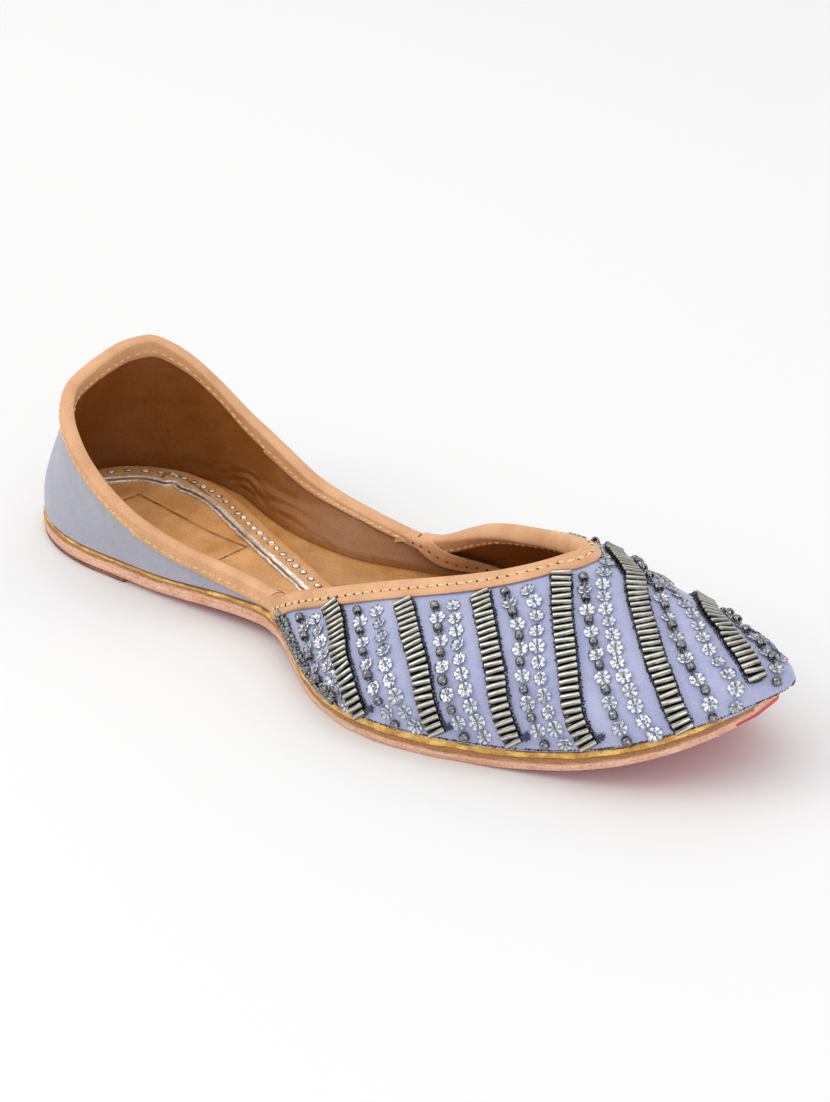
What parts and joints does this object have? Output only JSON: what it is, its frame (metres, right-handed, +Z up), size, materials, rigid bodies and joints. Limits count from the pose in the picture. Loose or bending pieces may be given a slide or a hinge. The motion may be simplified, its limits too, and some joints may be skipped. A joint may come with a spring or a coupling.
{
  "type": "mojari shoe",
  "caption": "Flat slip-on shoe with a pointed turned-up toe, a low cloth quarter and a beaded vamp with bound edges, on a thin leather sole.",
  "frame": {"origin": "under the middle of the shoe's bounding box, on the floor", "axes": "+X to the toe, +Z up, -Y to the outer side of the right foot"},
  "size_m": [0.2526, 0.0884, 0.0527],
  "materials": {
    "heel_lift": "dark worn leather",
    "outsole": "pale vegetable-tanned leather edge, red-painted underside",
    "rand": "mustard-coloured leather strip, rough",
    "upper": "matte satin cloth, leather lining",
    "quarter_binding": "smooth tan leather",
    "vamp_binding": "smooth tan leather",
    "insole_pad": "brown lining leather",
    "heel_sock": "brown lining leather, embossed",
    "sock_border": "brown leather, punched, with a silver foil edge",
    "quarter_tail_near": "smooth tan leather",
    "quarter_tail_far": "smooth tan leather"
  },
  "bodies": {
    "root": {"heel_lift": "heel_lift", "outsole": "outsole", "rand": "rand", "upper": "upper", "quarter_binding": "quarter_binding", "vamp_binding": "vamp_binding", "insole_pad": "insole_pad", "heel_sock": "heel_sock", "sock_border": "sock_border", "quarter_tail_near": "quarter_tail_near", "quarter_tail_far": "quarter_tail_far"}
  },
  "joints": []
}
